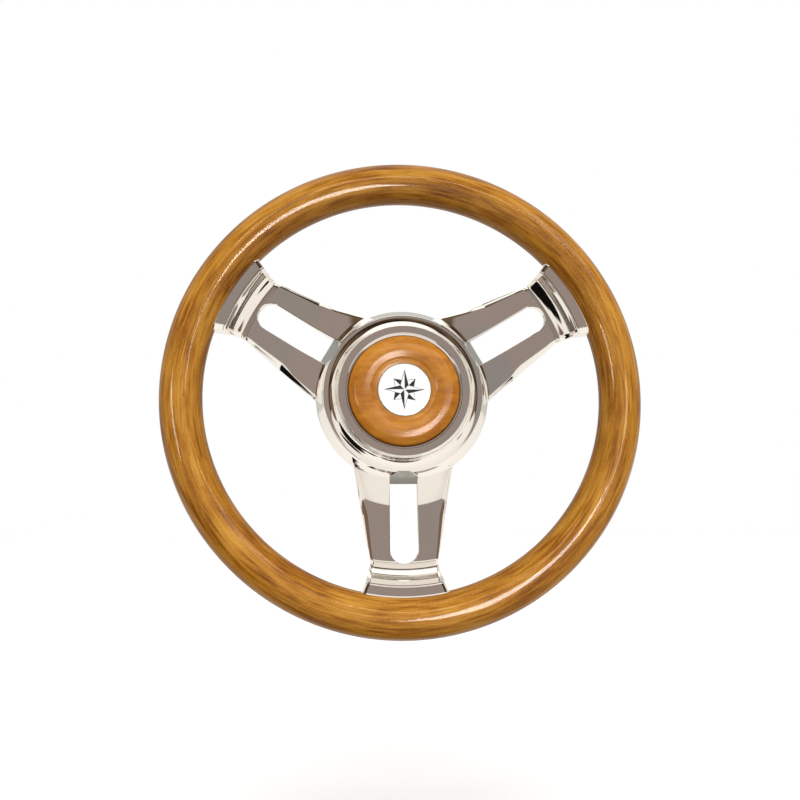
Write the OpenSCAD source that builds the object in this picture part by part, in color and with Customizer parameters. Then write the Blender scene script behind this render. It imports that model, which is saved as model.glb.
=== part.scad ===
// Three-spoke boat steering wheel with a wooden rim, polished spokes and a pull-off wooden
// centre cap. It stands upright: the helm axis lies along Y, the front faces -Y and one spoke
// points down. The origin is on the axis at the rear face of the boss.
// Every module first draws its piece flat, with the axis along z and the front facing up
// from z = 0 at the rear face of the boss; upright() then stands it up.

/* [Rim] */
// Outer diameter of the wheel
rim_d = 350; // [340:2:380]
// Diameter of the wooden grip
grip_d = 30; // [28:1:32]
// Height of the rim's middle plane above the rear face of the boss
rim_z = 48; // [48:1:52]
// Width across the flat steel ring inside the grip
core_w = 10; // [8:1:12]
// Thickness of the steel ring
core_t = 4; // [3:0.5:5]

/* [Hub] */
// Outer diameter of the bell's skirt
bell_d = 131; // [130:1:133]
// Diameter of the crease between the cove and the skirt
crease_d = 117; // [116:1:118]
// Outer diameter of the bezel ring
bezel_d = 99.2; // [98.8:0.1:99.6]
// Diameter of the wooden centre cap
cap_d = 83.2; // [82.8:0.1:83.6]
// Diameter of the emblem disc
emblem_d = 39.2; // [36:0.4:39.2]

/* [Spokes] */
// Width of a spoke where it leaves the bell
root_w = 73; // [70:1:74]
// Width of a spoke at its neck, next to the end pad
neck_w = 49; // [45:1:52]
// Width of an end pad where it meets the rim
pad_w = 60; // [56:1:64]
// Width of the long slot in a spoke
slot_w = 20.4; // [16:0.2:22]
// Thickness of a spoke
spoke_t = 5; // [4.5:0.5:5]

/* [Helm shaft] */
// Large diameter of the tapered bore
taper_d = 19.05; // [19.05:0.01:19.25]
// Length over which the bore's diameter shrinks by one
taper_ratio = 12; // [10:1:16]
// Width of the keyway
key_w = 4.8; // [4.7:0.1:5]

/* [Hidden] */
$fn = 96;

// Directions of the spokes, and of the gaps between them, seen from the front
lower_a = -90;
right_a = 30;
left_a = 150;
spoke_angles = [lower_a, right_a, left_a];
gap_angles = [90, 210, 330];

// Rim
grip_r = grip_d / 2;
rim_r = rim_d / 2 - grip_r;
stud_r = 2.5;
stud_side = 12;
stud_from = rim_r - grip_r - 5;
stud_to = rim_r - core_w / 2;
past = 1;

// Heights of the hub's layers, from the back to the front
cover_back = rim_z - 25.5;
cover_top = rim_z - 23;
tab_back = rim_z - 22.5;
plate_back = rim_z - 17.5;
plate_top = rim_z - 13.5;
nut_seat_z = plate_back + 1;
carrier_foot = rim_z - 12.5;
carrier_seat = rim_z - 4.2;
socket_top = rim_z - 1.5;
cap_back = socket_top + 0.3;
bezel_top = rim_z + 3.6;
emblem_seat = rim_z + 3.5;
emblem_top = emblem_seat + 1.3;
star_top = emblem_top + 0.15;
nut_room_top = rim_z + 0.5;

// Hub radii
bell_r = bell_d / 2;
crease_r = crease_d / 2;
bezel_r = bezel_d / 2;
bezel_hole_r = 42.2;
socket_r = 39.2;
socket_wall = 3;
cap_r = cap_d / 2;
plate_r = 55.5;
nut_hole_r = 15;
nut_seat_r = 14;
flange_r = 38;
neck_r = 17;
cover_r = 62;
gasket_in_r = 57;
crease_z = rim_z - 8.2;
skirt_wall = 2.8;
cove_steps = 10;

// Helm bore
taper_r = taper_d / 2;
key_depth = 11.7;

// Cap
carrier_r = 38.7;
carrier_skirt_r = 38.2;
carrier_hole_r = 16.5;
carrier_in_r = 34.5;
carrier_flange_t = cap_back - carrier_seat;
groove_r = 36.05;
groove_z = rim_z - 8.5;
o_ring_r = 1.5;
o_ring_mid = 37.55;
nut_room_r = 13;
emblem_r = emblem_d / 2;
emblem_wall = 0.8;

// Spokes: u runs out from the axis, z is the height of the front face
tab_u = 40;
tab_w = 60;
tab_end_u = 52;
root_u = 54.5;
rear_u = 66.5;
neck_u = 123.5;
pad_u = 141;
neck_z = rim_z - 6.4;
slope = 0.18;
fillet_out_r = 78;
fillet_in_r = 60;
fillet_rise = 4.6;
fillet_steps = 8;
fillet_sweep = 80;
pad_out_r = rim_r - grip_r + 4;
recess_z = rim_z - 8;
recess_r = 127.5;
ridge_r = 137;
ridge_z = rim_z + 2.6;
lip_z = rim_z + 5;
recess_steps = 8;
pad_sweep = 34;

// Slot: its hub end is a flat that leans back like the bell's skirt
slot_end_u = 124;
slot_front_u = 58.6;
slot_front_z = rim_z - 9;
slot_back_u = 67;
slot_back_z = rim_z - 23.5;

// Screws: [shank radius, head radius, head height]
spoke_screw = [2.4, 4.2, 2.5];
boss_screw = [2.9, 4.3, 4];
bell_screw = [1.9, 3.4, 2];
cover_screw = [1.9, 3.6, 1.6];
bezel_screw = [1.5, 2.6, 1.8];
cap_screw = [1.5, 2.8, 1.8];
spoke_screw_u = 48;
spoke_screw_side = 15;
boss_screw_u = 28;
boss_screw_angles = [0:60:300];
bell_screw_u = 48;
bell_screw_lean = 16;
cover_screw_u = 50;
bezel_screw_u = 45.1;
cap_screw_u = 26;
cap_screw_angles = [45:90:315];
post_r = 4.5;

// Emblem star
long_tip = 15.2;
long_waist = 4.25;
short_tip = 11.4;
short_foot = 4.7;
short_side = 7.2;
star_gap = 0.45;

// ---- helpers ----

module upright() {
  rotate([90, 0, 0]) children();
}

// A tube or disc between two heights
module ring(r_out, r_in, z0, z1) {
  translate([0, 0, z0])
    difference() {
      cylinder(r = r_out, h = z1 - z0);
      if (r_in > 0)
        translate([0, 0, -past]) cylinder(r = r_in, h = z1 - z0 + 2 * past);
    }
}

module turned(points) {
  rotate_extrude() polygon(points);
}

module at_polar(u, angle) {
  rotate([0, 0, angle]) translate([u, 0, 0]) children();
}

// A screw whose head seats at z; towards is 1 when its point goes to the front
module screw(size, seat, length, towards) {
  translate([0, 0, towards > 0 ? seat : seat - length]) cylinder(r = size[0], h = length);
  translate([0, 0, towards > 0 ? seat - size[2] : seat]) cylinder(r = size[1], h = size[2]);
}

module screw_hole(size, z0, z1) {
  translate([0, 0, z0 - past]) cylinder(r = size[0] + 0.1, h = z1 - z0 + 2 * past);
}

// ---- rim ----

module grip_torus() {
  translate([0, 0, rim_z]) rotate_extrude() translate([rim_r, 0]) circle(r = grip_r);
}

module core_shape() {
  ring(rim_r + core_w / 2, rim_r - core_w / 2, rim_z - core_t / 2, rim_z + core_t / 2);
}

// Two studs per spoke tie its end pad to the steel ring
module stud_shapes() {
  for (a = spoke_angles, side = [-1, 1])
    rotate([0, 0, a])
      translate([stud_from, side * stud_side, rim_z])
        rotate([0, 90, 0]) cylinder(r = stud_r, h = stud_to - stud_from);
}

module half_grip(z0) {
  difference() {
    intersection() {
      grip_torus();
      translate([-rim_d, -rim_d, z0]) cube([2 * rim_d, 2 * rim_d, grip_d]);
    }
    core_shape();
    stud_shapes();
  }
}

module rim_front() {
  color("peru") upright() half_grip(rim_z);
}

module rim_back() {
  color("peru") upright() half_grip(rim_z - grip_d);
}

module rim_core() {
  color("gray") upright()
    difference() {
      core_shape();
      stud_shapes();
    }
}

module rim_studs() {
  color("gray") upright() stud_shapes();
}

// ---- spokes ----

function face_z(u) = neck_z - slope * (neck_u - u);

arm_side = [
  [tab_u, tab_back], [tab_u, plate_back], [neck_u - (neck_z - plate_back) / slope, plate_back],
  [neck_u, neck_z], [neck_u + 3, neck_z], [neck_u + 3, neck_z - spoke_t],
  [rear_u + 1.5, face_z(rear_u) - spoke_t], [rear_u, tab_back]
];

// The face sweeps up in a hollow curve, concentric with the hub, where it meets the bell
fillet_side = concat(
  [[fillet_out_r, plate_back - 1], [fillet_in_r, plate_back - 1]],
  [
    for (i = [0:fillet_steps])
      let (
        t = i / fillet_steps,
        r = fillet_in_r + (fillet_out_r - fillet_in_r) * t
      )
      [r, face_z(r - 4 * t) + fillet_rise * pow(1 - t, 2)]
  ]
);

// The front of the pad: a hollow recess that rises to a ridge, then a lip against the grip
recess_points = [
  for (i = [0:recess_steps])
    let (t = 90 * i / recess_steps)
      [recess_r + (ridge_r - recess_r) * sin(t), recess_z + (ridge_z - recess_z) * (1 - cos(t))]
];

pad_side = concat(
  [[neck_u - 4, neck_z - spoke_t], [neck_u - 4, neck_z - 1], [neck_u + 0.5, neck_z],
   [neck_u + 2, neck_z - 0.8], [neck_u + 2.6, recess_z]],
  recess_points,
  [[ridge_r + 0.8, ridge_z + 0.9], [rim_r - grip_r + 0.3, lip_z], [rim_r, lip_z],
   [rim_r, rim_z - 10.5], [pad_u, rim_z - 10.8]]
);

arm_half_plan = [
  [tab_u, tab_w / 2], [tab_end_u, tab_w / 2], [root_u, root_w / 2], [neck_u, neck_w / 2],
  [neck_u + 6, neck_w / 2 + 1.2], [pad_u, pad_w / 2], [pad_out_r, pad_w / 2 + 1]
];

module arm_prism() {
  linear_extrude(height = 2 * rim_z)
    for (side = [0, 1])
      mirror([0, side, 0]) polygon(concat([[tab_u, 0]], arm_half_plan, [[pad_out_r, 0]]));
}

module arm_blank() {
  intersection() {
    union() {
      rotate([90, 0, 0]) linear_extrude(height = 2 * root_w, center = true) polygon(arm_side);
      rotate_extrude(start = -fillet_sweep / 2, angle = fillet_sweep) polygon(fillet_side);
    }
    arm_prism();
  }
}

module pad_blank() {
  intersection() {
    rotate_extrude(start = -pad_sweep / 2, angle = pad_sweep) polygon(pad_side);
    arm_prism();
    cylinder(r = pad_out_r, h = 2 * rim_z);
  }
}

module slot_cut() {
  intersection() {
    rotate([90, 0, 0]) linear_extrude(height = slot_w, center = true)
      polygon([
        [slot_front_u - 3, slot_front_z + 5.2], [slot_front_u, slot_front_z],
        [slot_back_u, slot_back_z], [slot_back_u + 1, slot_back_z - 5],
        [slot_end_u + past, slot_back_z - 5], [slot_end_u + past, lip_z],
        [slot_front_u, lip_z]
      ]);
    union() {
      translate([slot_front_u - 4, -slot_w / 2, 0])
        cube([slot_end_u - slot_w / 2 - slot_front_u + 4, slot_w, 2 * rim_z]);
      translate([slot_end_u - slot_w / 2, 0, 0]) cylinder(d = slot_w, h = 2 * rim_z);
    }
  }
}

module arm_screw_places() {
  for (side = [-1, 1]) translate([spoke_screw_u, side * spoke_screw_side, 0]) children();
}

module spoke(angle) {
  color("lightgray") upright()
    difference() {
      rotate([0, 0, angle])
        difference() {
          union() {
            arm_blank();
            pad_blank();
          }
          slot_cut();
          arm_screw_places() {
            screw_hole(spoke_screw, tab_back, plate_back);
          }
          arm_screw_places()
            translate([0, 0, tab_back - past])
              cylinder(r = spoke_screw[1] + 0.2, h = spoke_screw[2] + past);
        }
      grip_torus();
      stud_shapes();
    }
}

module spoke_lower() {
  spoke(lower_a);
}

module spoke_right() {
  spoke(right_a);
}

module spoke_left() {
  spoke(left_a);
}

// ---- hub ----

// Hollow quarter curve from under the bezel out to the crease
cove_points = [
  for (i = [0:cove_steps])
    let (t = 90 * i / cove_steps)
      [crease_r - (crease_r - bezel_r) * cos(t), socket_top - (socket_top - crease_z) * sin(t)]
];

bell_profile = concat(
  [[socket_r, plate_top], [socket_r, socket_top]],
  cove_points,
  [[crease_r + 0.9, crease_z - 0.6], [crease_r + 3.4, crease_z - 4.3], [bell_r - 0.6, rim_z - 18],
   [bell_r, rim_z - 20.5], [bell_r, tab_back], [bell_r - skirt_wall, tab_back],
   [bell_r - skirt_wall - 0.4, rim_z - 19.5], [crease_r - 2.2, rim_z - 11.8],
   [50.5, rim_z - 8.6], [47.8, rim_z - 5.5], [socket_r + socket_wall, rim_z - 5.5],
   [socket_r + socket_wall, plate_top]]
);

module bell_post_places() {
  for (a = gap_angles, lean = [-bell_screw_lean, bell_screw_lean])
    at_polar(bell_screw_u, a + lean) children();
}

module hub_bell() {
  color("gainsboro") upright()
    difference() {
      union() {
        turned(bell_profile);
        bell_post_places()
          translate([0, 0, plate_top]) cylinder(r = post_r, h = rim_z - 7 - plate_top);
      }
      for (a = spoke_angles)
        rotate([0, 0, a]) {
          arm_blank();
          slot_cut();
        }
      bell_post_places()
        translate([0, 0, plate_top - past]) cylinder(r = bell_screw[0] + 0.1, h = 5.5 + past);
      for (a = spoke_angles)
        at_polar(bezel_screw_u, a) screw_hole(bezel_screw, rim_z - 5.5, socket_top);
    }
}

module hub_plate() {
  color("dimgray") upright()
    difference() {
      ring(plate_r, nut_hole_r, plate_back, plate_top);
      for (a = spoke_angles)
        rotate([0, 0, a]) arm_screw_places() screw_hole(spoke_screw, plate_back, plate_top);
      for (a = boss_screw_angles) at_polar(boss_screw_u, a) screw_hole(boss_screw, plate_back, plate_top);
      bell_post_places() screw_hole(bell_screw, plate_back, plate_top);
      for (a = gap_angles) at_polar(cover_screw_u, a) screw_hole(cover_screw, plate_back, plate_top);
    }
}

module boss() {
  color("silver") upright()
    difference() {
      union() {
        cylinder(r = neck_r, h = plate_back);
        ring(flange_r, 0, tab_back, plate_back);
        ring(nut_seat_r, 0, plate_back, nut_seat_z);
      }
      cylinder(r1 = taper_r, r2 = taper_r - nut_seat_z / (2 * taper_ratio), h = nut_seat_z);
      translate([-key_w / 2, 0, -past]) cube([key_w, key_depth, nut_seat_z + 2 * past]);
      for (a = boss_screw_angles)
        at_polar(boss_screw_u, a) screw_hole(boss_screw, tab_back, plate_back);
    }
}

module spoke_screws() {
  color("dimgray") upright()
    for (a = spoke_angles)
      rotate([0, 0, a])
        arm_screw_places() screw(spoke_screw, tab_back + spoke_screw[2], plate_top - tab_back - spoke_screw[2], 1);
}

module boss_screws() {
  color("dimgray") upright()
    for (a = boss_screw_angles)
      at_polar(boss_screw_u, a) screw(boss_screw, plate_top, plate_top - tab_back, -1);
}

module bell_screws() {
  color("dimgray") upright()
    bell_post_places() screw(bell_screw, plate_back, plate_top - plate_back + 5, 1);
}

module back_cover() {
  color("dimgray") upright()
    difference() {
      union() {
        ring(cover_r, neck_r + 0.4, cover_back, cover_top);
        for (a = gap_angles)
          at_polar(cover_screw_u, a)
            translate([0, 0, cover_back]) cylinder(r = post_r, h = plate_back - cover_back);
      }
      for (a = gap_angles)
        at_polar(cover_screw_u, a) {
          screw_hole(cover_screw, cover_back, plate_back);
          translate([0, 0, cover_back - past]) cylinder(r = cover_screw[1] + 0.2, h = cover_screw[2] + past);
        }
    }
}

module cover_gasket() {
  color("black") upright() ring(cover_r, gasket_in_r, cover_top, tab_back);
}

module cover_screws() {
  color("silver") upright()
    for (a = gap_angles)
      at_polar(cover_screw_u, a)
        screw(cover_screw, cover_back + cover_screw[2], plate_top - cover_back - cover_screw[2], 1);
}

// A flat ring with a rounded outer edge and a small bead round its hole
module bezel_ring() {
  color("gainsboro") upright()
    difference() {
      turned([
        [bezel_hole_r, socket_top], [bezel_hole_r, bezel_top - 0.9],
        [bezel_hole_r + 0.3, bezel_top - 0.2], [bezel_hole_r + 0.8, bezel_top],
        [bezel_hole_r + 1.3, bezel_top - 0.2], [bezel_hole_r + 1.6, bezel_top - 0.6],
        [bezel_r - 1.4, bezel_top - 0.3], [bezel_r - 0.8, bezel_top - 0.4],
        [bezel_r - 0.2, bezel_top - 0.9], [bezel_r, bezel_top - 1.6], [bezel_r, socket_top]
      ]);
      for (a = spoke_angles)
        at_polar(bezel_screw_u, a) screw_hole(bezel_screw, socket_top - 2, socket_top + 1.6);
    }
}

module bezel_screws() {
  color("dimgray") upright()
    for (a = spoke_angles) at_polar(bezel_screw_u, a) screw(bezel_screw, rim_z - 5.5, 6.5, 1);
}

// ---- centre cap ----

module wood_cap() {
  color("peru") upright()
    difference() {
      turned([
        [0, cap_back], [cap_r, cap_back], [cap_r, rim_z + 0.4], [cap_r - 0.3, rim_z + 1.5],
        [cap_r - 1.4, rim_z + 3], [cap_r - 4, rim_z + 4.8], [cap_r - 8, rim_z + 6.2],
        [cap_r - 12, rim_z + 6.6], [cap_r - 16, rim_z + 6.2], [emblem_r + 2.6, rim_z + 5.4],
        [emblem_r + 1.6, rim_z + 4.9], [emblem_r + emblem_wall, rim_z + 4.9],
        [emblem_r + emblem_wall, emblem_seat], [0, emblem_seat]
      ]);
      translate([0, 0, cap_back - past]) cylinder(r = nut_room_r, h = nut_room_top - cap_back + past);
      for (a = cap_screw_angles)
        at_polar(cap_screw_u, a) screw_hole(cap_screw, cap_back, cap_back + 2.5);
    }
}

module cap_carrier() {
  color("dimgray") upright()
    difference() {
      union() {
        ring(carrier_r, carrier_hole_r, carrier_seat, cap_back);
        ring(carrier_skirt_r, carrier_in_r, carrier_foot, carrier_seat);
      }
      ring(carrier_r + past, groove_r, groove_z - o_ring_r - 0.1, groove_z + o_ring_r + 0.1);
      for (a = cap_screw_angles)
        at_polar(cap_screw_u, a) screw_hole(cap_screw, carrier_seat, cap_back);
    }
}

module cap_screws() {
  color("silver") upright()
    for (a = cap_screw_angles)
      at_polar(cap_screw_u, a) screw(cap_screw, carrier_seat, carrier_flange_t + 3.4, 1);
}

module cap_o_ring() {
  color("black") upright()
    translate([0, 0, groove_z]) rotate_extrude() translate([o_ring_mid, 0]) circle(r = o_ring_r);
}

module emblem_disc() {
  color("white") upright() ring(emblem_r, 0, emblem_seat, emblem_top);
}

module emblem_ring() {
  color("gray") upright() ring(emblem_r + emblem_wall - 0.05, emblem_r, emblem_seat, emblem_top + 0.3);
}

function on_circle(r, a) = [r * cos(a), r * sin(a)];

// The clockwise half of a long point, from the star's middle
module long_half(angle) {
  polygon([on_circle(star_gap, angle - 22), on_circle(long_waist, angle - 45), on_circle(long_tip, angle)]);
}

// The clockwise half of a short point, which comes out from behind two long ones
module short_half(angle) {
  polygon([on_circle(short_foot, angle), on_circle(short_side, angle - 28), on_circle(short_tip, angle)]);
}

module compass_star() {
  color("black") upright()
    translate([0, 0, emblem_top])
      linear_extrude(height = star_top - emblem_top)
        for (turn = [0:90:270]) {
          long_half(turn);
          short_half(turn + 45);
        }
}

rim_front();
rim_back();
rim_core();
rim_studs();
spoke_lower();
spoke_right();
spoke_left();
hub_bell();
hub_plate();
boss();
spoke_screws();
boss_screws();
bell_screws();
back_cover();
cover_gasket();
cover_screws();
bezel_ring();
bezel_screws();
wood_cap();
cap_carrier();
cap_screws();
cap_o_ring();
emblem_disc();
emblem_ring();
compass_star();
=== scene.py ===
import math

import bmesh
import bpy
from mathutils import Matrix, Vector


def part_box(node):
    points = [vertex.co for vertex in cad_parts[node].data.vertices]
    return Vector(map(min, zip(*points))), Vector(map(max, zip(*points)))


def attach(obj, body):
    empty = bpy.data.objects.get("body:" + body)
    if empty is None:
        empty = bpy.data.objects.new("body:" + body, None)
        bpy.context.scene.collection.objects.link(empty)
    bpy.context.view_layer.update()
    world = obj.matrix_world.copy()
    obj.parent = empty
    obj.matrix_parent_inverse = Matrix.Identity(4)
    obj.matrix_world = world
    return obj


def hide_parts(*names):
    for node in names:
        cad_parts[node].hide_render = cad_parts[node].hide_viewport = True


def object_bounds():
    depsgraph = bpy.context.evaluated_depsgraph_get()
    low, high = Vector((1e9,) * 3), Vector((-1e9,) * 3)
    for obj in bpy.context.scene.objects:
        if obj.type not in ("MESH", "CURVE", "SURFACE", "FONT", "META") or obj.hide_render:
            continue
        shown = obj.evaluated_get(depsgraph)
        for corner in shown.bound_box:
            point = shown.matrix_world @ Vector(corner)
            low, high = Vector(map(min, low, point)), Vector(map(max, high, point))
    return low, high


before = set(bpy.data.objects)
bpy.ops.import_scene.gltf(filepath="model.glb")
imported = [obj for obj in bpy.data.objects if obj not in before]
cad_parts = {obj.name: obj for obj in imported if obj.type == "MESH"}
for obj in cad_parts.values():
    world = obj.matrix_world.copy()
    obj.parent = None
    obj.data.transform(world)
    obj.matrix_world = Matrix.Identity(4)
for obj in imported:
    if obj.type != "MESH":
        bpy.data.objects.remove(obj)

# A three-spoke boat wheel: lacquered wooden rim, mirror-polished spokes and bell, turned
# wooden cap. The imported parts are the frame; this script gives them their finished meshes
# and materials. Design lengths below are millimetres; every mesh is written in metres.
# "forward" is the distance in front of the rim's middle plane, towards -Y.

MM = 0.001
cad_low, cad_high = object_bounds()

# ------------------------------------------------------------------ sizes from the frame


def box_mm(node):
    low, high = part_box(node)
    return Vector(low) / MM, Vector(high) / MM


def outer_radius(node):
    """How far a round piece reaches from the helm axis."""
    high = box_mm(node)[1]
    return round(max(high.x, high.z), 1)


grip_low, grip_high = box_mm("rim_front")
GRIP = grip_high.y - grip_low.y
RIM_R = grip_high.x - GRIP
RIM_Y = grip_high.y
BELL_R = outer_radius("hub_bell")
CREASE_R = BELL_R - 7.0
BEZEL_R = outer_radius("bezel_ring")
CAP_R = outer_radius("wood_cap")
BEZEL_HOLE = CAP_R + 0.6
EMBLEM_R = outer_radius("emblem_disc")

WHEEL = "wheel"
CAP = "centre_cap"
SPOKE_ANGLES = {"spoke_lower": -90, "spoke_right": 30, "spoke_left": 150}


def place(x, up, forward):
    """A point of the wheel, in metres: x to the right and up as seen from the front."""
    return Vector((x * MM, (RIM_Y - forward) * MM, up * MM))


# ------------------------------------------------------------------ mesh helpers

SHARP = math.radians(28)


def new_object(name, mesh, body, material, replaced):
    piece = bpy.data.objects.new(name, mesh)
    bpy.context.scene.collection.objects.link(piece)
    mesh.materials.append(material)
    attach(piece, body)
    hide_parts(*replaced)
    return piece


def finish_mesh(name, bm, sharp=SHARP):
    bmesh.ops.remove_doubles(bm, verts=bm.verts, dist=1e-6)
    bmesh.ops.dissolve_degenerate(bm, edges=bm.edges, dist=1e-6)
    bmesh.ops.recalc_face_normals(bm, faces=bm.faces)
    mesh = bpy.data.meshes.new(name)
    bm.to_mesh(mesh)
    bm.free()
    mesh.shade_smooth()
    mesh.set_sharp_from_angle(angle=sharp)
    return mesh


def add_ring_grid(bm, rows):
    """Faces between rows of points; the rows and the points in them both close up."""
    verts = [[bm.verts.new(p) for p in row] for row in rows]
    n, m = len(rows), len(rows[0])
    for i in range(n):
        for j in range(m):
            a, b = verts[i][j], verts[i][(j + 1) % m]
            c, d = verts[(i + 1) % n][(j + 1) % m], verts[(i + 1) % n][j]
            bm.faces.new((a, b, c, d))
    return verts


def rounded(points, closed=True, step=math.radians(9)):
    """Replaces each corner (x, y, radius) of an outline by an arc of that radius."""
    result = []
    n = len(points)
    for i, (x, y, radius) in enumerate(points):
        corner = Vector((x, y))
        if radius == 0 or (not closed and i in (0, n - 1)):
            result.append((x, y))
            continue
        before = Vector(points[i - 1][:2]) - corner
        after = Vector(points[(i + 1) % n][:2]) - corner
        turn = math.pi - before.angle(after)
        reach = radius * math.tan(turn / 2)
        reach = min(reach, before.length * 0.499, after.length * 0.499)
        true_radius = reach / math.tan(turn / 2)
        start = corner + before.normalized() * reach
        bisector = (before.normalized() + after.normalized()).normalized()
        centre = corner + bisector * (true_radius / math.cos(turn / 2))
        steps = max(2, math.ceil(turn / step))
        side = start - centre
        sign = 1 if before.x * after.y - before.y * after.x < 0 else -1
        for k in range(steps + 1):
            a = sign * turn * k / steps
            spun = Vector((side.x * math.cos(a) - side.y * math.sin(a),
                           side.x * math.sin(a) + side.y * math.cos(a)))
            result.append(tuple(centre + spun))
    return result


def turned(name, outline, segments):
    """A closed outline of (radius, forward) turned about the helm axis."""
    bm = bmesh.new()
    rows = []
    for k in range(segments):
        a = 2 * math.pi * k / segments
        rows.append([place(r * math.cos(a), r * math.sin(a), f) for r, f in outline])
    add_ring_grid(bm, rows)
    return finish_mesh(name, bm)


# ------------------------------------------------------------------ material helpers


class Nodes:
    """Short calls for building the node tree of a material or a world."""

    def __init__(self, owner):
        owner.use_nodes = True
        self.owner = owner
        self.tree = owner.node_tree
        self.shader = self.tree.nodes.get("Principled BSDF")

    def add(self, kind, **settings):
        node = self.tree.nodes.new(kind)
        for key, value in settings.items():
            setattr(node, key, value)
        return node

    def link(self, source, target):
        self.tree.links.new(source, target)

    def put(self, socket, value):
        if isinstance(value, bpy.types.NodeSocket):
            self.link(value, socket)
        else:
            socket.default_value = value

    def math(self, operation, a, b=0.0, c=0.0):
        node = self.add("ShaderNodeMath", operation=operation)
        for socket, value in zip(node.inputs, (a, b, c)):
            self.put(socket, value)
        return node.outputs[0]

    def point(self):
        return self.add("ShaderNodeTexCoord").outputs["Object"]

    def split(self, vector):
        node = self.add("ShaderNodeSeparateXYZ")
        self.link(vector, node.inputs[0])
        return node.outputs

    def join(self, x, y, z):
        node = self.add("ShaderNodeCombineXYZ")
        for socket, value in zip(node.inputs, (x, y, z)):
            self.put(socket, value)
        return node.outputs[0]

    def axis_radius(self, x, z):
        """Distance from the helm axis."""
        return self.math("SQRT", self.math("ADD", self.math("MULTIPLY", x, x),
                                           self.math("MULTIPLY", z, z)))

    def noise(self, vector, scale, detail=4.0, roughness=0.5, distortion=0.0, w=None):
        node = self.add("ShaderNodeTexNoise")
        if w is not None:
            node.noise_dimensions = "4D"
            self.put(node.inputs["W"], w)
        self.put(node.inputs["Vector"], vector)
        node.inputs["Scale"].default_value = scale
        node.inputs["Detail"].default_value = detail
        node.inputs["Roughness"].default_value = roughness
        node.inputs["Distortion"].default_value = distortion
        return node.outputs["Fac"]

    def ramp(self, value, stops):
        node = self.add("ShaderNodeValToRGB")
        ramp = node.color_ramp
        while len(ramp.elements) < len(stops):
            ramp.elements.new(0.5)
        for element, (position, colour) in zip(ramp.elements, stops):
            element.position = position
            if isinstance(colour, (int, float)):
                colour = (colour, colour, colour)
            element.color = (*colour, 1.0)
        self.link(value, node.inputs["Fac"])
        return node.outputs["Color"]

    def mix(self, factor, a, b):
        node = self.add("ShaderNodeMix", data_type="RGBA")
        self.put(node.inputs["Factor"], factor)
        for socket, value in ((node.inputs["A"], a), (node.inputs["B"], b)):
            if isinstance(value, tuple):
                value = (*value, 1.0)
            self.put(socket, value)
        return node.outputs["Result"]

    def bump(self, height, strength, distance):
        node = self.add("ShaderNodeBump")
        node.inputs["Strength"].default_value = strength
        node.inputs["Distance"].default_value = distance
        self.link(height, node.inputs["Height"])
        return node.outputs["Normal"]

    def set(self, **values):
        """Sets or links inputs of the shader: base_color is "Base Color", and so on."""
        for key, value in values.items():
            self.put(self.shader.inputs[key.replace("_", " ").title()], value)


# ------------------------------------------------------------------ wood

BAND_COUNT = 251
BAND_ACROSS = 900.0
BAND_WANDER = 16.0
SHIMMER = 0.005

# Blotches are (length, width) in millimetres, the long way along the grain. Shares say how
# much each layer of blotches counts, and middle is the value that shows the middle colour.
RIM_GRAIN = {"ring": True, "tone": (46.0, 8.0), "streak": (24.0, 1.5), "streak_share": 0.46,
             "fibre_share": 0.14, "middle": 0.50, "pores": 0.35, "coat_roughness": 0.07}
CAP_GRAIN = {"ring": False, "tone": (30.0, 15.0), "streak": (22.0, 4.0), "streak_share": 0.30,
             "fibre_share": 0.05, "middle": 0.375, "pores": 0.10, "coat_roughness": 0.20}
TONE_SHARE = 0.40
# colour of the painted shade along the wood cap's edge, where it meets the bezel
CAP_EDGE_SHADE = (0.07, 0.012, 0.003)


class Grain:
    """Noise that is drawn out along the grain. On the ring the grain runs round the helm
    axis without a joint; otherwise it runs along X."""

    def __init__(self, n, ring):
        x, y, z = n.split(n.point())
        self.nodes = n
        self.deep = n.math("SUBTRACT", y, RIM_Y * MM)
        self.radius = n.axis_radius(x, z)
        if ring:
            self.scale = RIM_R
            self.east = n.math("DIVIDE", x, self.radius)
            self.north = n.math("DIVIDE", z, self.radius)
            self.across = n.math("SUBTRACT", self.radius, RIM_R * MM)
            self.around = n.math("MULTIPLY", n.math("ARCTAN2", z, x), BAND_COUNT)
        else:
            self.scale = 1 / MM
            self.east = x
            self.north = 0.0
            self.across = z
            self.around = n.math("MULTIPLY", x, BAND_COUNT / (RIM_R * MM))

    def noise(self, length, width, detail, roughness=0.5, seed=0.0, distortion=0.0):
        n = self.nodes
        along = self.scale / length
        fine = 1 / (width * MM)
        vector = n.join(n.math("MULTIPLY", self.east, along), n.math("MULTIPLY", self.north, along),
                        n.math("MULTIPLY", self.across, fine))
        return n.noise(vector, 1.0, detail, roughness, distortion,
                       w=n.math("MULTIPLY_ADD", self.deep, fine, seed))

    def bands(self):
        """Faint bands across the grain that lean and wander."""
        n = self.nodes
        wander = n.math("MULTIPLY", self.noise(14.0, 6.0, 2.0, seed=17.0), BAND_WANDER)
        lean = n.math("MULTIPLY_ADD", self.across, BAND_ACROSS, wander)
        return n.math("SINE", n.math("ADD", self.around, lean))


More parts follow.
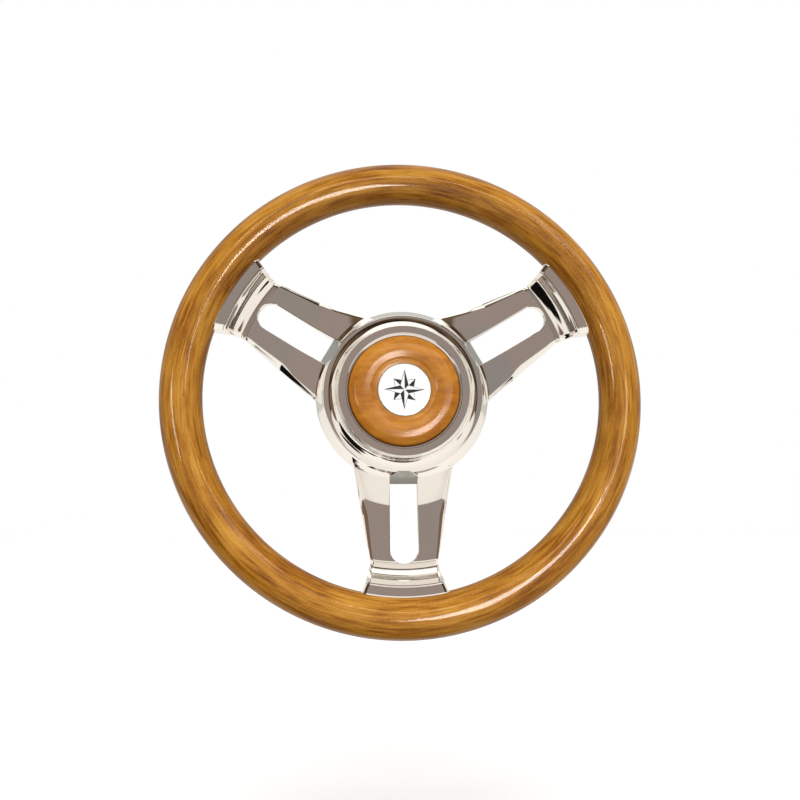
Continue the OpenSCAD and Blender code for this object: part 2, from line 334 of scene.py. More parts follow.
def wood_colour(n, grain, style, streak, light, mid, dark, darkest):
    """Broad tones, streaks and fibres pick a colour; pores and flecks darken it."""
    tone = grain.noise(*style["tone"], 3.0, seed=5.0)
    fibre = grain.noise(8.0, 0.35, 3.0, 0.6, seed=1.3)
    value = n.math("MULTIPLY_ADD", tone, TONE_SHARE, n.math("MULTIPLY", streak, style["streak_share"]))
    value = n.math("MULTIPLY_ADD", fibre, style["fibre_share"], value)
    value = n.math("MULTIPLY_ADD", grain.bands(), SHIMMER, value)
    middle = style["middle"]
    body = n.ramp(value, [(middle - 0.15, darkest), (middle - 0.06, dark), (middle + 0.01, mid),
                          (middle + 0.11, light)])
    pores = n.ramp(grain.noise(4.5, 0.3, 2.0, 0.4, seed=21.0), [(0.64, 0.0), (0.70, 1.0)])
    flecks = n.ramp(grain.noise(2.6, 0.7, 1.0, seed=31.0, distortion=0.6), [(0.70, 0.0), (0.76, 1.0)])
    colour = n.mix(n.math("MULTIPLY", pores, style["pores"]), body, darkest)
    return n.mix(n.math("MULTIPLY", flecks, 0.75), colour, darkest)


def wood(name, style, light, mid, dark, darkest):
    """Hardwood under a clear lacquer. On the cap, painted shade darkens the wood along its edge, beside
    the gap to the bezel.
    """
    n = Nodes(bpy.data.materials.new(name))
    grain = Grain(n, style["ring"])
    streak = grain.noise(*style["streak"], 4.0, 0.6, seed=7.7)
    colour = wood_colour(n, grain, style, streak, light, mid, dark, darkest)
    if not style["ring"]:
        # painted shade: the cap's wood turns dark towards its edge, beside the gap to the bezel
        edge = n.ramp(n.math("DIVIDE", grain.radius, CAP_R * MM), [(0.960, 0.0), (0.985, 0.85)])
        colour = n.mix(edge, colour, CAP_EDGE_SHADE)
    n.set(base_color=colour)
    n.shader.inputs["Roughness"].default_value = 0.5
    n.shader.inputs["Specular IOR Level"].default_value = 0.04
    n.shader.inputs["Coat Weight"].default_value = 1.0
    n.shader.inputs["Coat Roughness"].default_value = style["coat_roughness"]
    n.shader.inputs["Coat IOR"].default_value = 1.2
    n.put(n.shader.inputs["Normal"], n.bump(streak, 0.12, 0.0002))
    return n.owner


# ------------------------------------------------------------------ other materials


def polished_metal(name, colour, other, roughness):
    """Polish with a faint drift of tint and of gloss, and the finest waviness."""
    n = Nodes(bpy.data.materials.new(name))
    p = n.point()
    drift = n.noise(p, 18.0, 3.0)
    smear = n.noise(p, 240.0, 5.0, 0.6)
    tint = n.ramp(drift, [(0.35, colour), (0.65, other)])
    gloss = n.ramp(smear, [(0.3, roughness * 0.6), (0.75, roughness * 1.6)])
    n.set(base_color=tint, metallic=1.0, roughness=gloss)
    wave = n.noise(p, 25.0, 1.0)
    n.put(n.shader.inputs["Normal"], n.bump(wave, 0.01, 0.0004))
    return n.owner


def moulded(name, colour, roughness, bump_scale, bump_strength):
    """Moulded plastic or rubber with a fine matt texture."""
    n = Nodes(bpy.data.materials.new(name))
    p = n.point()
    cloud = n.noise(p, 40.0, 3.0)
    lighter = tuple(c * 1.5 + 0.004 for c in colour)
    n.set(base_color=n.ramp(cloud, [(0.35, colour), (0.7, lighter)]))
    n.put(n.shader.inputs["Roughness"], n.ramp(cloud, [(0.3, roughness), (0.8, roughness + 0.12)]))
    n.put(n.shader.inputs["Normal"], n.bump(n.noise(p, bump_scale, 2.0), bump_strength, 0.0003))
    return n.owner


MARKS_PER_METRE = 6000.0


def turned_metal(name, colour, roughness):
    """Bare turned metal: fine marks that run round the helm axis."""
    n = Nodes(bpy.data.materials.new(name))
    x, y, z = n.split(n.point())
    radius = n.axis_radius(x, z)
    marks = n.noise(n.join(n.math("MULTIPLY", radius, MARKS_PER_METRE),
                           n.math("MULTIPLY", y, MARKS_PER_METRE), 0.0), 1.0, 2.0)
    cloud = n.noise(n.point(), 60.0, 3.0)
    darker = tuple(c * 0.82 for c in colour)
    n.set(base_color=n.ramp(cloud, [(0.3, darker), (0.7, colour)]), metallic=1.0)
    n.put(n.shader.inputs["Roughness"], n.ramp(marks, [(0.3, roughness * 0.8), (0.7, roughness * 1.3)]))
    n.put(n.shader.inputs["Normal"], n.bump(marks, 0.08, 0.0001))
    return n.owner


def enamel(name, colour, shade):
    """Glossy enamel with a trace of unevenness under a clear coat."""
    n = Nodes(bpy.data.materials.new(name))
    cloud = n.noise(n.point(), 220.0, 3.0)
    n.set(base_color=n.ramp(cloud, [(0.35, colour), (0.7, shade)]))
    n.shader.inputs["Roughness"].default_value = 0.3
    n.shader.inputs["Coat Weight"].default_value = 1.0
    n.shader.inputs["Coat Roughness"].default_value = 0.03
    n.put(n.shader.inputs["Normal"], n.bump(cloud, 0.02, 0.0002))
    return n.owner


CHROME = polished_metal("polished_steel", (0.90, 0.865, 0.82), (0.87, 0.84, 0.80), 0.035)
RIM_WOOD = wood("lacquered_wood", RIM_GRAIN, light=(0.60, 0.285, 0.040), mid=(0.45, 0.185, 0.017),
                dark=(0.30, 0.105, 0.007), darkest=(0.15, 0.042, 0.003))
CAP_WOOD = wood("cap_wood", CAP_GRAIN, light=(0.62, 0.25, 0.028), mid=(0.50, 0.185, 0.015),
                dark=(0.39, 0.130, 0.009), darkest=(0.24, 0.068, 0.005))
SATIN = polished_metal("satin_steel", (0.45, 0.44, 0.41), (0.41, 0.40, 0.37), 0.30)
BRUSHED = polished_metal("brushed_bead", (0.93, 0.90, 0.84), (0.91, 0.88, 0.82), 0.34)
PLASTIC = moulded("black_plastic", (0.018, 0.018, 0.019), 0.42, 900.0, 0.25)
RUBBER = moulded("black_rubber", (0.012, 0.012, 0.012), 0.6, 1500.0, 0.3)
PLATED = turned_metal("plated_steel", (0.62, 0.61, 0.58), 0.3)
SCREW_STEEL = turned_metal("stainless_screw", (0.72, 0.70, 0.67), 0.22)
ALLOY = turned_metal("boss_alloy", (0.78, 0.78, 0.77), 0.25)
WHITE = enamel("white_enamel", (0.93, 0.93, 0.925), (0.88, 0.88, 0.875))
BLACK = enamel("black_enamel", (0.012, 0.012, 0.014), (0.02, 0.02, 0.022))

# ------------------------------------------------------------------ rim

RIM_SEGMENTS = 480
GRIP_SEGMENTS = 72


def make_rim():
    """One ring of round section; its front and back halves are glued without a visible line."""
    bm = bmesh.new()
    rows = []
    for k in range(RIM_SEGMENTS):
        a = 2 * math.pi * k / RIM_SEGMENTS
        row = []
        for j in range(GRIP_SEGMENTS):
            b = 2 * math.pi * j / GRIP_SEGMENTS
            r = RIM_R + GRIP * math.cos(b)
            row.append(place(r * math.cos(a), r * math.sin(a), GRIP * math.sin(b)))
        rows.append(row)
    add_ring_grid(bm, rows)
    mesh = finish_mesh("rim", bm)
    return new_object("wooden_rim", mesh, WHEEL, RIM_WOOD,
                      ["rim_front", "rim_back"])


# ------------------------------------------------------------------ spokes
# s runs out along a spoke from the helm axis, w across it from its middle line.

# the face: it leans back towards the hub
SLOPE = 0.18
NECK_S = 123.5
NECK_F = -6.4
ROOT_S = 59.0
ARM_END = NECK_S - 20
SPOKE_T = 5.0
PAD_BACK_F = -12.6
LIP_S = 145.7
HEEL_S = 151.8
ROOT_BACK_S, ROOT_BACK_F = 67.0, -22.4

# the outline seen from the front
ROOT_HALF_S, ROOT_HALF = 54.5, 36.6
NECK_HALF = 24.4
FLARE_S = 144.9
FLARE, FLARE_CURL, FLARE_POWER = 0.6, 5.2, 1.6
BEND_AT_HUB = (66.0, 80.0)
BEND_AT_RIM = (112.0, 125.0)

# the slot, and the flat of the bell at its inner end
SLOT_HALF = 10.2
SLOT_END = 124.0
SLOT_ROUND = SLOT_END - SLOT_HALF
SLOT_FLAT_U = 58.2
SLOT_FLAT_F = -8.8
SLOT_FLAT_LEAN = 0.585
SLOT_START_FRONT = 61.0
SLOT_START_BACK = 66.8
SLOT_EDGE = 0.35

# where the face meets the bell
FILLET_R = 89.0
FILLET_TURN = 6.5
FILLET_GRADE = 0.22
FILLET_CURL = 0.0012
SKIRT = [(CREASE_R, -8.3), (61.9, -12.4), (64.8, -17.6), (BELL_R, -22.5), (BELL_R + 10, -90.0)]
ROOT_BULGE = 1.8
ROOT_BULGE_R, ROOT_BULGE_RUN = 59.5, 5.0
ROOT_SINK = 0.25
ROOT_BLEND = 1.3

# the sloped edge's width at the bell, the fillet, the neck and the pad
BEVEL_S = 66.0
BEVEL_ROOT, BEVEL_FILLET, BEVEL_NECK, BEVEL_PAD = 1.1, 4.3, 2.0, 3.2
BEVEL_PAD_RUN = 15.0
BEVEL_DEPTH = 0.62
BACK_BEVEL = 0.8


def plane_f(s):
    return NECK_F - SLOPE * (NECK_S - s)


def hub_rise(r):
    """Near the bell the face bends along a circle round the hub until it runs almost level."""
    x = FILLET_R - r
    if x <= 0:
        return 0.0
    if x < FILLET_TURN:
        return FILLET_GRADE * x * x / (2 * FILLET_TURN)
    x -= FILLET_TURN
    return FILLET_GRADE * FILLET_TURN / 2 + FILLET_GRADE * x + FILLET_CURL * x * x


def skirt_height(r):
    for (r0, f0), (r1, f1) in zip(SKIRT, SKIRT[1:]):
        if r <= r1:
            return f0 + (f1 - f0) * (r - r0) / (r1 - r0)
    return SKIRT[-1][1]


def root_height(face, r):
    """Blends the face into the bell's skirt, which it meets a little proud of."""
    out = min(max((r - ROOT_BULGE_R) / ROOT_BULGE_RUN, 0.0), 1.0)
    wall = skirt_height(r - ROOT_BULGE * out) - ROOT_SINK * (1 - out)
    blend = max(ROOT_BLEND - abs(face - wall), 0.0)
    return max(face, wall) + blend * blend / (4 * ROOT_BLEND)


WALL_RADIUS = 21.4
WALL_START_S, WALL_START_F = 128.0, -9.4
WALL_FROM, WALL_TO = 32, 72


def wall_point(degrees):
    """A point of the pad's concave wall, an arc that starts leaning and ends steep."""
    a, start = math.radians(degrees), math.radians(WALL_FROM)
    return (WALL_START_S + WALL_RADIUS * (math.sin(a) - math.sin(start)),
            WALL_START_F + WALL_RADIUS * (math.cos(start) - math.cos(a)), 0.0)


PAD_FRONT = rounded([
    (NECK_S - 8, plane_f(NECK_S - 8), 0), (NECK_S - 0.6, plane_f(NECK_S - 0.6), 1.6),
    (125.9, -9.0, 0.9), (127.4, -9.75, 0.7),
] + [wall_point(degrees) for degrees in range(WALL_FROM, WALL_TO + 1, 4)] + [
    (137.5, 3.7, 0.5), (138.5, 3.9, 0.5), (139.0, 3.35, 0.4), (145.0, 4.9, 0.5), (LIP_S, 4.55, 0),
], closed=False)


def half_width(s):
    """Half of a spoke's width at s millimetres from the axis."""
    if s <= NECK_S:
        return ROOT_HALF + (NECK_HALF - ROOT_HALF) * (s - ROOT_HALF_S) / (NECK_S - ROOT_HALF_S)
    t = (s - NECK_S) / (FLARE_S - NECK_S)
    return NECK_HALF + FLARE * t + FLARE_CURL * t ** FLARE_POWER


def bevel(s):
    """Width of the sloped edge: widest where the fillet starts, narrow at the bell."""
    if s < FILLET_R:
        t = max(s - BEVEL_S, 0) / (FILLET_R - BEVEL_S)
        return BEVEL_ROOT + (BEVEL_FILLET - BEVEL_ROOT) * t ** 0.8
    if s < NECK_S:
        return BEVEL_FILLET + (BEVEL_NECK - BEVEL_FILLET) * (s - FILLET_R) / (NECK_S - FILLET_R)
    return BEVEL_NECK + (BEVEL_PAD - BEVEL_NECK) * min((s - NECK_S) / BEVEL_PAD_RUN, 1.0)


def slot_half(s):
    if s <= SLOT_ROUND:
        return SLOT_HALF
    if s >= SLOT_END:
        return 0.0
    return math.sqrt(SLOT_HALF ** 2 - (s - SLOT_ROUND) ** 2)


def front_height(s):
    """Height of the front face on the spoke's middle line."""
    if s <= PAD_FRONT[0][0]:
        return plane_f(s)
    for (s0, f0), (s1, f1) in zip(PAD_FRONT, PAD_FRONT[1:]):
        if s0 <= s <= s1:
            return f0 + (f1 - f0) * (s - s0) / max(s1 - s0, 1e-9)
    return PAD_FRONT[-1][1]


def back_height(s):
    if s < ROOT_BACK_S:
        return ROOT_BACK_F
    return min(plane_f(s) - SPOKE_T, PAD_BACK_F)


ROOT_STEPS_PER_MM = 4
FILLET_STEPS_PER_MM = 3
FILLET_STEPS = 36
ARM_STEPS = 76
SLOT_ROUND_STEPS = 14


def slot_fronts():
    """Front stations beside the straight part of the slot: dense at the fillet."""
    dense = [SLOT_START_FRONT + k / FILLET_STEPS_PER_MM for k in range(FILLET_STEPS)]
    last = dense[-1]
    return dense + [last + (SLOT_ROUND - last) * k / ARM_STEPS for k in range(1, ARM_STEPS + 1)]


def spoke_stations():
    """Along a spoke: rows of (front s, front height, back s, back height), hub end first."""
    per_mm = ROOT_STEPS_PER_MM
    root = range(round(ROOT_S * per_mm), round(SLOT_START_FRONT * per_mm))
    stations = [(k / per_mm, k / per_mm) for k in root]
    for s in slot_fronts():
        share = (s - SLOT_START_FRONT) / (SLOT_ROUND - SLOT_START_FRONT)
        stations.append((s, SLOT_START_BACK + (SLOT_ROUND - SLOT_START_BACK) * share))
    for k in range(1, SLOT_ROUND_STEPS + 1):
        s = SLOT_ROUND + SLOT_HALF * math.sin(math.pi / 2 * k / SLOT_ROUND_STEPS)
        stations.append((s, s))
    rows = [(s, front_height(s), back, back_height(back)) for s, back in stations]
    for s, f in PAD_FRONT:
        if s > SLOT_END + 0.2:
            t = (s - SLOT_END) / (LIP_S - SLOT_END)
            back = SLOT_END + t * (HEEL_S - SLOT_END)
            rows.append((s, f, back, back_height(back)))
    return rows


def smooth(t):
    t = min(max(t, 0.0), 1.0)
    return t * t * (3 - 2 * t)


def bent(s, w):
    """Station lines run straight across the spoke, bend round the hub near the bell and bend
    round with the rim at the pad."""
    at_hub = smooth((BEND_AT_HUB[1] - s) / (BEND_AT_HUB[1] - BEND_AT_HUB[0]))
    at_rim = smooth((s - BEND_AT_RIM[0]) / (BEND_AT_RIM[1] - BEND_AT_RIM[0]))
    beside = max(w * w - SLOT_HALF * SLOT_HALF, 0.0)
    along = s + at_hub * (math.sqrt(max(s * s - beside, 0.0)) - s)
    return along + at_rim * (math.sqrt(max(s * s - w * w, 0.0)) - s)


def edge_half(s):
    """Half width where the bent station line meets the spoke's straight edge."""
    w = half_width(s)
    if s < ARM_END:
        for _ in range(8):
            w = half_width(bent(s, w))
    return w


FACE_COLUMNS = 12
# (share of the width, share of the depth): a quick turn off the face, a nearly flat slope,
# a quick turn down the side
BEVEL_SHAPE = [(0.03, 0.008), (0.06, 0.025), (0.09, 0.05), (0.3, 0.24), (0.5, 0.43), (0.7, 0.64),
               (0.88, 0.86), (0.96, 0.95), (1.0, 1.0)]


def spoke_columns(s, f, front):
    """Across half a spoke, from the middle out: [w, height] pairs."""
    in_slot = s <= SLOT_END
    inner = slot_half(s) if in_slot else 0.0
    outer = edge_half(s)
    wide = bevel(s) if front else BACK_BEVEL
    deep = BEVEL_DEPTH * wide if front else -BACK_BEVEL
    slot_edge = SLOT_EDGE if front else -SLOT_EDGE
    columns = [(0.0, f), (inner, f - slot_edge * in_slot), (inner + SLOT_EDGE, f)]
    face_from, face_to = inner + SLOT_EDGE, outer - wide
    for k in range(1, FACE_COLUMNS + 1):
        columns.append((face_from + (face_to - face_from) * k / FACE_COLUMNS, f))
    for share, drop in BEVEL_SHAPE:
        columns.append((face_to + wide * share, f - deep * drop))
    return columns


def spoke_axes(angle):
    """Unit vectors along and across a spoke that points at this angle."""
    turn = math.radians(angle)
    along = Vector((math.cos(turn), math.sin(turn)))
    return along, Vector((-along.y, along.x))


def back_point(axes, side, s, w, f):
    along, aside = axes
    p = along * bent(s, w) + aside * (w * side)
    return place(p.x, p.y, f)


def front_point(axes, side, s, w, f):
    """As back_point, but blended into the bell and kept behind the bell's flat."""
    if s < ARM_END:
        u = bent(s, w)
        r = math.hypot(u, w)
        f = root_height(f + plane_f(u) - plane_f(s) + hub_rise(r), r)
        if s < SLOT_START_FRONT + 1e-6 and w < SLOT_HALF + 0.01:
            f = min(f, SLOT_FLAT_F - (u - SLOT_FLAT_U) / SLOT_FLAT_LEAN - 0.3)
    return back_point(axes, side, s, w, f)


def add_strips(bm, rows, front, back, slot_start):
    """Front, back, outer side and slot wall of half a spoke, strip by strip."""
    for i in range(len(rows) - 1):
        in_slot = slot_start <= i and rows[i + 1][0] <= SLOT_END + 1e-6
        for j in range(1 if in_slot else 0, len(front[i]) - 1):
            bm.faces.new((front[i][j], front[i][j + 1], front[i + 1][j + 1], front[i + 1][j]))
            bm.faces.new((back[i][j], back[i][j + 1], back[i + 1][j + 1], back[i + 1][j]))
        bm.faces.new((front[i][-1], back[i][-1], back[i + 1][-1], front[i + 1][-1]))
        if in_slot:
            bm.faces.new((front[i][1], back[i][1], back[i + 1][1], front[i + 1][1]))


def add_hub_end(bm, front, back, slot_start):
    """The slot's flat end, which is satin, and the end of the root."""
    slot_front, slot_back = front[slot_start], back[slot_start]
    end = bm.faces.new((slot_front[0], slot_front[1], slot_back[1], slot_back[0]))
    end.material_index = 1
    for j in range(len(front[0]) - 1):
        bm.faces.new((front[0][j], front[0][j + 1], back[0][j + 1], back[0][j]))


SADDLE_STEPS = 10
SADDLE_GAP = 0.02


def add_saddle(bm, axes, side, row, front, back):
    """The curved end that hugs the grip, from the pad's lip round to its heel."""
    along, aside = axes
    s, f, s_back, f_back = row
    high = math.asin(min(f / GRIP, 1.0))
    low = math.asin(max(f_back / GRIP, -1.0))
    across = list(zip(spoke_columns(s, 0, True), spoke_columns(s_back, 0, False)))
    strips = [front]
    for k in range(1, SADDLE_STEPS):
        a = high + (low - high) * k / SADDLE_STEPS
        ring = RIM_R - (GRIP + SADDLE_GAP) * math.cos(a)
        strip = []
        for (w_front, _), (w_back, _) in across:
            w = w_front + (w_back - w_front) * k / SADDLE_STEPS
            p = along * math.sqrt(max(ring * ring - w * w, 0)) + aside * (w * side)
            strip.append(bm.verts.new(place(p.x, p.y, GRIP * math.sin(a))))
        strips.append(strip)
    strips.append(back)
    for upper, lower in zip(strips, strips[1:]):
        for j in range(len(upper) - 1):
            bm.faces.new((upper[j], upper[j + 1], lower[j + 1], lower[j]))
    bm.faces.new([strip[-1] for strip in strips])


def make_spoke(name, angle):
    rows = spoke_stations()
    axes = spoke_axes(angle)
    slot_start = sum(1 for row in rows if row[0] < SLOT_START_FRONT - 1e-6)
    bm = bmesh.new()
    for side in (1, -1):
        front, back = [], []
        for s, f, s_back, f_back in rows:
            front.append([bm.verts.new(front_point(axes, side, s, w, h))
                          for w, h in spoke_columns(s, f, True)])
            back.append([bm.verts.new(back_point(axes, side, s_back, w, h))
                         for w, h in spoke_columns(s_back, f_back, False)])
        add_strips(bm, rows, front, back, slot_start)
        add_hub_end(bm, front, back, slot_start)
        add_saddle(bm, axes, side, rows[-1], front[-1], back[-1])
    mesh = finish_mesh(name, bm, math.radians(25))
    spoke = new_object(name + "_polished", mesh, WHEEL, CHROME, [name])
    spoke.data.materials.append(SATIN)


# ------------------------------------------------------------------ bell and bezel

COVE_TOP_F = -1.5
COVE_DEPTH = 6.7
COVE_STEPS = 22


def cove():
    """The bell's concave ring, from the bezel down to the crease."""
    points = []
    for k in range(COVE_STEPS + 1):
        t = math.pi / 2 * k / COVE_STEPS
        points.append((CREASE_R - (CREASE_R - BEZEL_R) * math.cos(t),
                       COVE_TOP_F - COVE_DEPTH * math.sin(t)))
    return points


FLAT_HALF_TOP, FLAT_HALF_FULL = 5.2, 10.6
FLAT_CHAMFER = 5.0


def flat_half(f):
    """Half width of the flat across a slot: chamfered towards the crease."""
    share = min(max((SLOT_FLAT_F - f) / FLAT_CHAMFER, 0.0), 1.0)
    return FLAT_HALF_TOP + (FLAT_HALF_FULL - FLAT_HALF_TOP) * share


SKIRT_STEP = 0.35


def bell_outline():
    skirt = rounded([
        (CREASE_R - 0.4, -8.2, 0), (CREASE_R + 0.5, -8.3, 0.9), (61.9, -12.4, 14),
        (64.8, -17.6, 12), (BELL_R, -21.0, 3), (BELL_R, -22.5, 0.3), (BELL_R - 2.8, -22.5, 0),
    ], closed=False, step=math.radians(3))
    dense = []
    for (r0, f0), (r1, f1) in zip(skirt, skirt[1:]):
        parts = max(1, round(math.hypot(r1 - r0, f1 - f0) / SKIRT_STEP))
        dense += [(r0 + (r1 - r0) * k / parts, f0 + (f1 - f0) * k / parts) for k in range(parts)]
    inside = [(BELL_R - 2.8, -22.5), (62.2, -19.5), (56.3, -11.8), (50.5, -8.6), (47.8, -5.5),
              (42.2, -5.5), (42.2, -13.5), (39.2, -13.5), (39.2, COVE_TOP_F)]
    return cove()[:-1] + dense + inside


def bell_row(outline, a):
    """The outline at one angle, and for each of its points whether it lies on a slot's flat."""
    off = min(abs(math.remainder(a - math.radians(spoke), 2 * math.pi))
              for spoke in SPOKE_ANGLES.values())
    points, on_flat = [], []
    for r, f in outline:
        flat = (SLOT_FLAT_U + (SLOT_FLAT_F - f) * SLOT_FLAT_LEAN) / math.cos(off)
        outside = r > CREASE_R - 1.5 and f < -7.9
        within = off < 0.3 and r * math.sin(off) < flat_half(f)
        cut = outside and within and flat < r
        on_flat.append(cut)
        if cut:
            r = flat
        points.append(place(r * math.cos(a), r * math.sin(a), f))
    return points, on_flat


BELL_SEGMENTS = 960


def make_bell():
    """The bell is turned, then cut flat where each spoke's slot ends; the flats are satin."""
    outline = bell_outline()
    bm = bmesh.new()
    rows, marks = [], []
    for k in range(BELL_SEGMENTS):
        points, on_flat = bell_row(outline, 2 * math.pi * k / BELL_SEGMENTS)
        rows.append(points)
        marks.append(on_flat)
    verts = add_ring_grid(bm, rows)
    satin = {vert for row, on_flat in zip(verts, marks) for vert, cut in zip(row, on_flat) if cut}
    for face in bm.faces:
        face.material_index = 1 if all(v in satin for v in face.verts) else 0
    mesh = finish_mesh("bell", bm, math.radians(24))
    bell = new_object("bell_polished", mesh, WHEEL, CHROME, ["hub_bell"])
    bell.data.materials.append(SATIN)


BEZEL_TOP_F = 3.2
BEZEL_CHAMFER = 1.8


def make_bezel():
    """A flat polished ring with a brushed chamfer round it."""
    outline = rounded([
        (BEZEL_HOLE, COVE_TOP_F, 0), (BEZEL_HOLE, 3.0, 0.25), (BEZEL_HOLE + 0.5, BEZEL_TOP_F, 0.15),
        (BEZEL_R - BEZEL_CHAMFER, BEZEL_TOP_F, 0.15), (BEZEL_R - 0.1, 2.0, 0.3),
        (BEZEL_R, COVE_TOP_F, 0),
    ])
    mesh = turned("bezel", outline, 360)
    bezel = new_object("bezel_polished", mesh, WHEEL, CHROME, ["bezel_ring"])
    bezel.data.materials.append(BRUSHED)
    for face in mesh.polygons:
        r = math.hypot(face.center.x, face.center.z) / MM
        slopes = -0.97 < face.normal.y < -0.3
        if r > BEZEL_R - BEZEL_CHAMFER and slopes:
            face.material_index = 1


# ------------------------------------------------------------------ cap and emblem

SEAT_F = 3.5


def make_wood_cap():
    seat = EMBLEM_R - 0.05
    side = CAP_R - 0.2
    outline = rounded([
        (13.0, -1.2, 0), (side, -1.2, 0.3), (side, 0.8, 1.0), (39.8, 3.6, 4.0),
        (35.5, 6.2, 8.0), (29.5, 6.9, 9.0), (24.4, 5.6, 5.0), (22.6, 4.7, 1.2),
        (21.4, 4.75, 0.35), (seat, 4.5, 0.2), (seat, SEAT_F, 0), (2.0, SEAT_F, 0), (2.0, 0.5, 0),
        (13.0, 0.5, 0),
    ], step=math.radians(4))
    mesh = turned("cap", outline, 300)
    return new_object("wood_cap_turned", mesh, CAP, CAP_WOOD, ["wood_cap"])


DISC_R = EMBLEM_R - 0.6
DISC_F = 4.8
BAND_F = 4.95


def make_emblem_disc():
    outline = rounded([
        (0.01, SEAT_F, 0), (DISC_R - 0.05, SEAT_F, 0), (DISC_R - 0.05, DISC_F - 0.08, 0.3),
        (DISC_R - 1.2, DISC_F, 0.5), (0.01, DISC_F, 0),
    ])
    return new_object("emblem_face", turned("emblem", outline, 240), CAP, WHITE,
                      ["emblem_disc"])


def make_emblem_band():
    outline = rounded([
        (DISC_R, SEAT_F, 0), (EMBLEM_R - 0.1, SEAT_F, 0), (EMBLEM_R - 0.1, BAND_F, 0.15),
        (DISC_R, BAND_F, 0.15),
    ])
    new_object("emblem_band", turned("band", outline, 240), CAP, CHROME,
               ["emblem_ring"])


LONG_TIP = 15.2
LONG_WAIST = 4.25
SHORT_TIP = 11.4
SHORT_FOOT = 4.45
SHORT_SIDE = 7.2
STAR_BASE_F = DISC_F - 0.05
STAR_TOP_F = 4.95
OUTLINE = 0.26


def polar(r, degrees):
    return Vector((r * math.cos(math.radians(degrees)), r * math.sin(math.radians(degrees))))


def add_plate(bm, corners):
    """A thin raised plate with the given outline."""
    top = [bm.verts.new(place(c.x, c.y, STAR_TOP_F)) for c in corners]
    bottom = [bm.verts.new(place(c.x, c.y, STAR_BASE_F)) for c in corners]
    bm.faces.new(top)
    bm.faces.new(list(reversed(bottom)))
    n = len(corners)
    for i in range(n):
        bm.faces.new((top[i], bottom[i], bottom[(i + 1) % n], top[(i + 1) % n]))


def add_line(bm, a, b):
    """A thin raised line between two points, on the side of the star's middle."""
    along = (b - a).normalized()
    inward = Vector((-along.y, along.x)) * OUTLINE
    if inward.dot(a) > 0:
        inward = -inward
    add_plate(bm, [a, b, b + inward, a + inward])


def make_star():
    """Eight points: one half of each is filled, the other is only outlined."""
    bm = bmesh.new()
    for angle in range(0, 360, 90):
        tip = polar(LONG_TIP, angle)
        add_plate(bm, [polar(0.4, angle - 22), polar(LONG_WAIST, angle - 45), tip])
        add_line(bm, tip * 0.93, polar(LONG_WAIST + 0.15, angle + 44))
        corner = angle + 45
        tip = polar(SHORT_TIP, corner)
        add_plate(bm, [polar(SHORT_FOOT, corner), polar(SHORT_SIDE, corner - 28), tip])
        add_line(bm, tip * 0.97, polar(SHORT_SIDE, corner + 28))
    mesh = finish_mesh("star", bm)
    new_object("compass_rose", mesh, CAP, BLACK, ["compass_star"])


# ------------------------------------------------------------------ assembly

rim = make_rim()
for spoke_name, spoke_angle in SPOKE_ANGLES.items():
    make_spoke(spoke_name, spoke_angle)
make_bell()
make_bezel()
cap = make_wood_cap()
emblem = make_emblem_disc()
make_emblem_band()
make_star()

NODE_MATERIALS = {
    "rim_core": PLATED, "rim_studs": PLATED, "hub_plate": PLATED, "boss": ALLOY,
    "spoke_screws": PLATED, "boss_screws": PLATED, "bell_screws": PLATED,
    "back_cover": PLASTIC, "cover_gasket": RUBBER, "cover_screws": SCREW_STEEL,
    "bezel_screws": PLATED, "cap_carrier": PLASTIC, "cap_screws": PLATED, "cap_o_ring": RUBBER,
}
for node_name, node_material in NODE_MATERIALS.items():
    node_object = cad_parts[node_name]
    node_object.data.materials.clear()
    node_object.data.materials.append(node_material)

# the polish mirrors the room alone: the wood in it would edge every arm with an orange line
for piece in (rim, cap):
    piece.visible_glossy = False

# ------------------------------------------------------------------ camera

CAMERA_DISTANCE = 0.508
CAMERA_LENS = 31.34
CAMERA_BELOW = 9.46
CAMERA_LEFT = 3.33
CAMERA_ROLL = 0.32
WHEEL_OFFSET = (0.0030, 0.0069)


def to_scene(v):
    """From wheel axes (right, up, forward) to the scene's."""
    return Vector((v.x, -v.z, v.y))


def make_camera():
    """The camera looks up at the wheel from a little below and to the left."""
    tilt = Matrix.Rotation(math.radians(-CAMERA_BELOW), 3, "X")
    pan = Matrix.Rotation(math.radians(CAMERA_LEFT), 3, "Y")
    roll = Matrix.Rotation(math.radians(CAMERA_ROLL), 3, "Z")
    # the rows of "seen" are the camera's right, up and back
    seen = tilt @ pan @ roll
    eye = seen.transposed() @ Vector((-WHEEL_OFFSET[0], -WHEEL_OFFSET[1], CAMERA_DISTANCE))
    axes = Matrix([to_scene(row) for row in seen]).transposed()
    middle = Vector((0, RIM_Y * MM, 0))

    data = bpy.data.cameras.new("camera")
    data.lens = CAMERA_LENS
    data.sensor_width = 36.0
    data.clip_start = 0.01
    camera = bpy.data.objects.new("camera", data)
    bpy.context.scene.collection.objects.link(camera)
    camera.matrix_world = Matrix.Translation(to_scene(eye) + middle) @ axes.to_4x4()
    bpy.context.scene.camera = camera


# ------------------------------------------------------------------ floor and lamps

FLOOR_Z = cad_low.z - 0.12
FLOOR_HALF = 6.0


def aim_vector(azimuth, elevation):
    """From the wheel: azimuth to the right of straight ahead, elevation above level."""
    a, e = math.radians(azimuth), math.radians(elevation)
    return Vector((math.sin(a) * math.cos(e), -math.cos(a) * math.cos(e), math.sin(e)))


def group(name, pieces):
    collection = bpy.data.collections.new(name)
    for piece in pieces:
        collection.objects.link(piece)
    return collection


def add_lamp(data, lit):
    """A lamp that lights only the pieces in one collection."""
    lamp = bpy.data.objects.new(data.name, data)
    bpy.context.scene.collection.objects.link(lamp)
    lamp.light_linking.receiver_collection = lit
    return lamp


